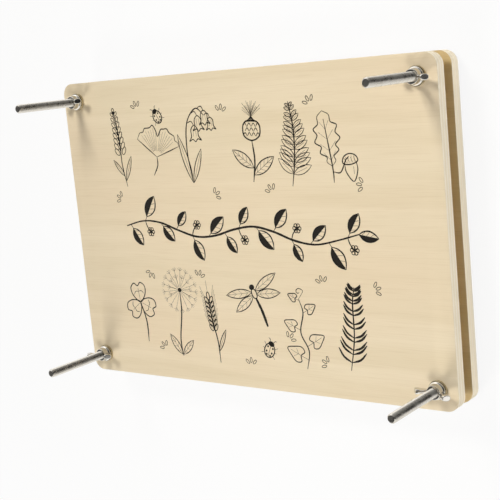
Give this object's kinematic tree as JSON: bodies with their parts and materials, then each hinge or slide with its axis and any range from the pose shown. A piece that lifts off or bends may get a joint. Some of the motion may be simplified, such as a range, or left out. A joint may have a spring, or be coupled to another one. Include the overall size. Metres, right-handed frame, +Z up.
{
  "type": "flower press",
  "caption": "Two round-cornered plywood boards on long coach bolts with wing nuts, pressing corrugated card and blotting paper to dry flowers flat.",
  "frame": {"origin": "middle of the press on the table, in the plane of the flat crowns of the four bolt heads", "axes": "+Z up, out of the printed face of the top board and along the bolts; +X along the long side of the boards; +Y along the short side, towards the top of the print"},
  "size_m": [0.297, 0.21, 0.086],
  "materials": {
    "plywood": "smooth sanded unvarnished basswood plywood, black line print on the top board",
    "bolt_steel": "bright nickel-plated rolled thread",
    "washer_steel": "bright nickel-plated, flat",
    "nut_steel": "polished nickel-plated casting",
    "corrugated_card": "brown kraft, fine flute",
    "blotting_paper": "soft matt absorbent paper"
  },
  "bodies": {
    "base": {"bottom_board": "plywood", "bolt_front_left": "bolt_steel", "bolt_front_right": "bolt_steel", "bolt_back_left": "bolt_steel", "bolt_back_right": "bolt_steel"},
    "top_board": {"top_board": "plywood", "washer_front_left": "washer_steel", "washer_front_right": "washer_steel", "washer_back_left": "washer_steel", "washer_back_right": "washer_steel"},
    "wing_nut_front_left": {"wing_nut_front_left": "nut_steel"},
    "wing_nut_front_right": {"wing_nut_front_right": "nut_steel"},
    "wing_nut_back_left": {"wing_nut_back_left": "nut_steel"},
    "wing_nut_back_right": {"wing_nut_back_right": "nut_steel"},
    "card_1": {"card_1": "corrugated_card"},
    "blotter_1": {"blotter_1": "blotting_paper"},
    "blotter_2": {"blotter_2": "blotting_paper"},
    "card_2": {"card_2": "corrugated_card"},
    "blotter_3": {"blotter_3": "blotting_paper"},
    "blotter_4": {"blotter_4": "blotting_paper"},
    "card_3": {"card_3": "corrugated_card"},
    "blotter_5": {"blotter_5": "blotting_paper"},
    "blotter_6": {"blotter_6": "blotting_paper"},
    "card_4": {"card_4": "corrugated_card"}
  },
  "joints": [
    {"name": "wing_nut_front_left_turn", "type": "hinge", "parent": "top_board", "child": "wing_nut_front_left", "pos_m": [-0.1355, -0.092, 0.0311], "axis": [0, 0, 1], "range_deg": [0, 17280]},
    {"name": "wing_nut_front_right_turn", "type": "hinge", "parent": "top_board", "child": "wing_nut_front_right", "pos_m": [0.1355, -0.092, 0.0311], "axis": [0, 0, 1], "range_deg": [0, 17280]},
    {"name": "wing_nut_back_left_turn", "type": "hinge", "parent": "top_board", "child": "wing_nut_back_left", "pos_m": [-0.1355, 0.092, 0.0311], "axis": [0, 0, 1], "range_deg": [0, 17280]},
    {"name": "wing_nut_back_right_turn", "type": "hinge", "parent": "top_board", "child": "wing_nut_back_right", "pos_m": [0.1355, 0.092, 0.0311], "axis": [0, 0, 1], "range_deg": [0, 17280]},
    {"name": "top_board_lift", "type": "slide", "parent": "base", "child": "top_board", "axis": [0, 0, 1], "range_m": [0, 0.048]},
    {"name": "card_1_lift", "type": "slide", "parent": "base", "child": "card_1", "axis": [0, 0, 1], "range_m": [0, 0.00144]},
    {"name": "blotter_1_lift", "type": "slide", "parent": "base", "child": "blotter_1", "axis": [0, 0, 1], "range_m": [0, 0.00288]},
    {"name": "blotter_2_lift", "type": "slide", "parent": "base", "child": "blotter_2", "axis": [0, 0, 1], "range_m": [0, 0.01344]},
    {"name": "card_2_lift", "type": "slide", "parent": "base", "child": "card_2", "axis": [0, 0, 1], "range_m": [0, 0.01488]},
    {"name": "blotter_3_lift", "type": "slide", "parent": "base", "child": "blotter_3", "axis": [0, 0, 1], "range_m": [0, 0.01632]},
    {"name": "blotter_4_lift", "type": "slide", "parent": "base", "child": "blotter_4", "axis": [0, 0, 1], "range_m": [0, 0.02688]},
    {"name": "card_3_lift", "type": "slide", "parent": "base", "child": "card_3", "axis": [0, 0, 1], "range_m": [0, 0.02832]},
    {"name": "blotter_5_lift", "type": "slide", "parent": "base", "child": "blotter_5", "axis": [0, 0, 1], "range_m": [0, 0.02976]},
    {"name": "blotter_6_lift", "type": "slide", "parent": "base", "child": "blotter_6", "axis": [0, 0, 1], "range_m": [0, 0.04032]},
    {"name": "card_4_lift", "type": "slide", "parent": "base", "child": "card_4", "axis": [0, 0, 1], "range_m": [0, 0.04176]}
  ],
  "couplings": [
    {"joint": "wing_nut_front_left_turn", "follows": "top_board_lift", "rad_per_m": 6283.2},
    {"joint": "wing_nut_front_right_turn", "follows": "top_board_lift", "rad_per_m": 6283.2},
    {"joint": "wing_nut_back_left_turn", "follows": "top_board_lift", "rad_per_m": 6283.2},
    {"joint": "wing_nut_back_right_turn", "follows": "top_board_lift", "rad_per_m": 6283.2},
    {"joint": "card_1_lift", "follows": "top_board_lift", "ratio": 0.03},
    {"joint": "blotter_1_lift", "follows": "top_board_lift", "ratio": 0.06},
    {"joint": "blotter_2_lift", "follows": "top_board_lift", "ratio": 0.28},
    {"joint": "card_2_lift", "follows": "top_board_lift", "ratio": 0.31},
    {"joint": "blotter_3_lift", "follows": "top_board_lift", "ratio": 0.34},
    {"joint": "blotter_4_lift", "follows": "top_board_lift", "ratio": 0.56},
    {"joint": "card_3_lift", "follows": "top_board_lift", "ratio": 0.59},
    {"joint": "blotter_5_lift", "follows": "top_board_lift", "ratio": 0.62},
    {"joint": "blotter_6_lift", "follows": "top_board_lift", "ratio": 0.84},
    {"joint": "card_4_lift", "follows": "top_board_lift", "ratio": 0.87}
  ]
}
